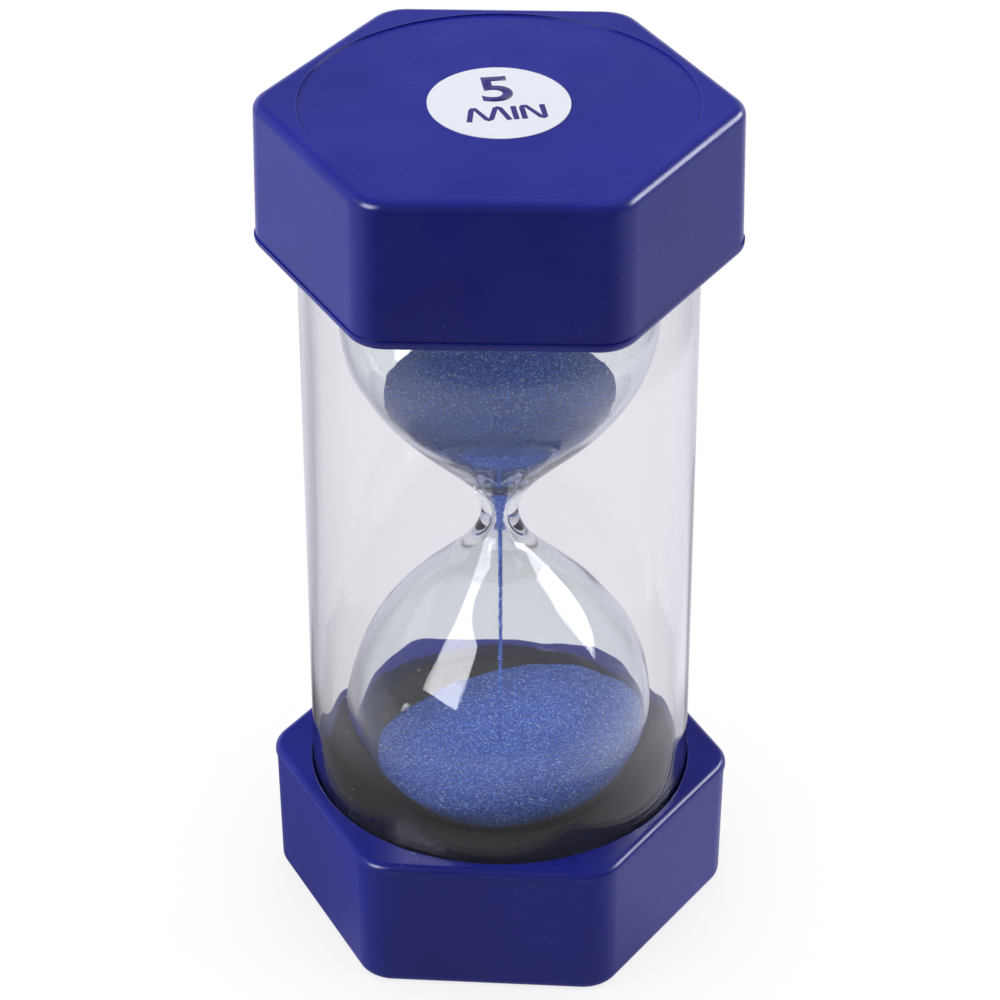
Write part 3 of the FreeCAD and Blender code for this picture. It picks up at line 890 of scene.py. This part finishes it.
camera = {
    "turn": math.radians(1.908),
    "elevation": math.radians(32.724),
    "roll": math.radians(-0.09),
    "place": (18.94 * mm, -566.2 * mm, 445.3 * mm),
    "lens": 136.66,
}


def directionTo(turn, elevation):
    # 0 is towards the front (-Y), and a turn goes towards +X
    return Vector((math.sin(turn) * math.cos(elevation), -math.cos(turn) * math.cos(elevation),
                   math.sin(elevation)))


def addCamera():
    eye = bpy.data.objects.new("camera", bpy.data.cameras.new("camera"))
    bpy.context.scene.collection.objects.link(eye)
    back = directionTo(camera["turn"], camera["elevation"])
    aim = (-back).to_track_quat("-Z", "Y").to_matrix()
    eye.location = camera["place"]
    eye.rotation_euler = (aim @ Matrix.Rotation(camera["roll"], 3, "Z")).to_euler()
    eye.data.lens = camera["lens"]
    eye.data.sensor_width = 36
    eye.data.clip_start = 0.01
    eye.data.clip_end = 50
    bpy.context.scene.camera = eye


lights = [
    # name, turn, elevation, distance, width, height, brightness, lights mat surfaces, is mirrored
    ("leftWindow", -48, 33, 0.8, 0.42, 0.44, 10, False, True),
    ("rightWindow", 114, 25, 0.8, 0.50, 0.27, 10, False, True),
    ("leftFill", -95, 30, 0.9, 0.8, 0.6, 5.6, True, False),
    ("rightFill", 100, 30, 0.9, 0.6, 0.6, 1.8, True, False),
    ("overhead", 150, 70, 0.9, 0.6, 0.6, 2.9, True, False),
]


def addLight(name, turn, elevation, distance, width, height, brightness, onMat, mirrored):
    light = bpy.data.lights.new(name, "AREA")
    light.shape = "RECTANGLE"
    light.size = width
    light.size_y = height
    light.energy = brightness * math.pi * width * height
    box = bpy.data.objects.new(name, light)
    bpy.context.scene.collection.objects.link(box)
    out = directionTo(math.radians(turn), math.radians(elevation))
    box.location = Vector((0, 0, neckHeight)) + out * distance
    box.rotation_euler = (-out).to_track_quat("-Z", "Y").to_euler()
    box.visible_camera = False
    box.visible_diffuse = onMat
    box.visible_glossy = mirrored
    box.visible_transmission = mirrored


studio = {
    "floorSize": 8.0,
    # mirrored brightness near the timer (kept low as painted shade of the timer), edge, brightness of the middle
    # zone, edge, brightness far off
    "front": (0.36, 0.11, 0.58, 0.243, 0.16),
    "left": (0.18, 0.080, 0.54, 0.35, 0.54),
    "right": (0.60, 0.080, 0.90, 0.22, 0.54),
    "behind": 0.80,
    "floorGlow": 1.5,
    "mirrorTint": (0.96, 0.96, 1.06),
    "ambient": 0.25,
    "mirrored": 0.22,
    "insideGlow": 1.35,
    # colour of the painted contact shadow on the floor
    "paintedContactShadow": (0.80, 0.80, 0.83, 1),
}


def rayKinds(tree):
    # 1 for a ray that lights a mat surface, for one that a glossy surface mirrors,
    # and for one that lights a mat surface through clear plastic or glass
    path = addNode(tree, "ShaderNodeLightPath").outputs
    isMat = calc(tree, "MINIMUM", path["Diffuse Depth"], 1.0)
    isMirrored = calc(tree, "MINIMUM", path["Glossy Depth"], 1.0)
    isInside = calc(tree, "MULTIPLY", isMat, path["Is Transmission Ray"])
    return isMat, isMirrored, isInside


def outwards(tree, reach, start, nearEdge, middle, farEdge, end):
    # brightness of the floor from close to the timer, over a middle zone, to far off; the lower brightness close
    # to the timer is painted shade of the timer
    rise = span(tree, reach, nearEdge * 0.9, nearEdge * 1.1, start, middle, True)
    return span(tree, reach, farEdge * 0.97, farEdge * 1.03, rise, end, True)


def addFloor():
    clearSelection()
    bpy.ops.mesh.primitive_plane_add(size=studio["floorSize"], location=(0, 0, -0.02 * mm))
    floor = bpy.context.object
    floor.name = "floor"
    tree, shader, material = newMaterial("pale floor")
    isMat, isMirrored, isInside = rayKinds(tree)
    # painted contact shadow: the glowing floor is darkened by ambient occlusion near the timer
    shade = addNode(tree, "ShaderNodeAmbientOcclusion", samples=8)
    shade.inputs["Distance"].default_value = 40 * mm
    seenColor = blendColors(tree, span(tree, shade.outputs["AO"], 0.1, 0.9), studio["paintedContactShadow"], (1, 1, 1, 1))
    # what the glossy and mat surfaces get from it: dim in front, brighter at the sides
    split = addNode(tree, "ShaderNodeSeparateXYZ")
    feed(tree, places(tree), split.inputs["Vector"])
    length = addNode(tree, "ShaderNodeVectorMath", operation="LENGTH")
    feed(tree, places(tree), length.inputs[0])
    reach = length.outputs["Value"]
    frontness = span(tree, calc(tree, "DIVIDE", split.outputs["Y"], reach), -0.95, -0.3, 1.0, 0.0, True)
    leftness = span(tree, calc(tree, "DIVIDE", split.outputs["X"], reach), -0.4, 0.4, 1.0, 0.0, True)
    backness = span(tree, calc(tree, "DIVIDE", split.outputs["Y"], reach), 0.62, 0.9, 0.0, 1.0, True)
    near, middle, far = [outwards(tree, reach, *studio[name]) for name in ("left", "right", "front")]
    side = span(tree, leftness, 0.0, 1.0, middle, near)
    side = span(tree, backness, 0.0, 1.0, side, studio["behind"])
    level = span(tree, frontness, 0.0, 1.0, side, far)
    level = calc(tree, "MULTIPLY", level, span(tree, isMat, 0.0, 1.0, 1.0, studio["floorGlow"]))
    level = span(tree, isInside, 0.0, 1.0, level, studio["insideGlow"])
    tinted = addNode(tree, "ShaderNodeVectorMath", operation="SCALE")
    tinted.inputs[0].default_value = studio["mirrorTint"]
    feed(tree, level, tinted.inputs["Scale"])
    glow = addNode(tree, "ShaderNodeEmission")
    unseen = calc(tree, "MAXIMUM", isMat, isMirrored)
    feed(tree, blendColors(tree, unseen, seenColor, tinted.outputs["Vector"]), glow.inputs["Color"])
    feed(tree, glow.outputs["Emission"], tree.nodes["Material Output"].inputs["Surface"])
    floor.data.materials.append(material)


def addWorld():
    world = bpy.data.worlds.new("studio")
    bpy.context.scene.world = world
    world.use_nodes = True
    tree = world.node_tree
    isMat, isMirrored, isInside = rayKinds(tree)
    background = tree.nodes["Background"]
    background.inputs["Color"].default_value = (1, 1, 1, 1)
    # mirrors see a bright wall low down behind, and a dim room elsewhere
    split = addNode(tree, "ShaderNodeSeparateXYZ")
    feed(tree, addNode(tree, "ShaderNodeTexCoord").outputs["Generated"], split.inputs["Vector"])
    wall = calc(tree, "MULTIPLY", span(tree, split.outputs["Y"], 0.3, 0.7, 0.0, 1.0, True),
                span(tree, split.outputs["Z"], 0.2, 0.42, 1.0, 0.0, True))
    room = span(tree, wall, 0.0, 1.0, studio["mirrored"], studio["behind"])
    strength = span(tree, isMirrored, 0.0, 1.0, 1.0, room)
    strength = span(tree, isMat, 0.0, 1.0, strength, studio["ambient"])
    strength = span(tree, isInside, 0.0, 1.0, strength, studio["insideGlow"])
    feed(tree, strength, background.inputs["Strength"])


print("studio")
addCamera()
addFloor()
addWorld()
for light in lights:
    addLight(*light)
bpy.context.scene.view_settings.view_transform = "Standard"
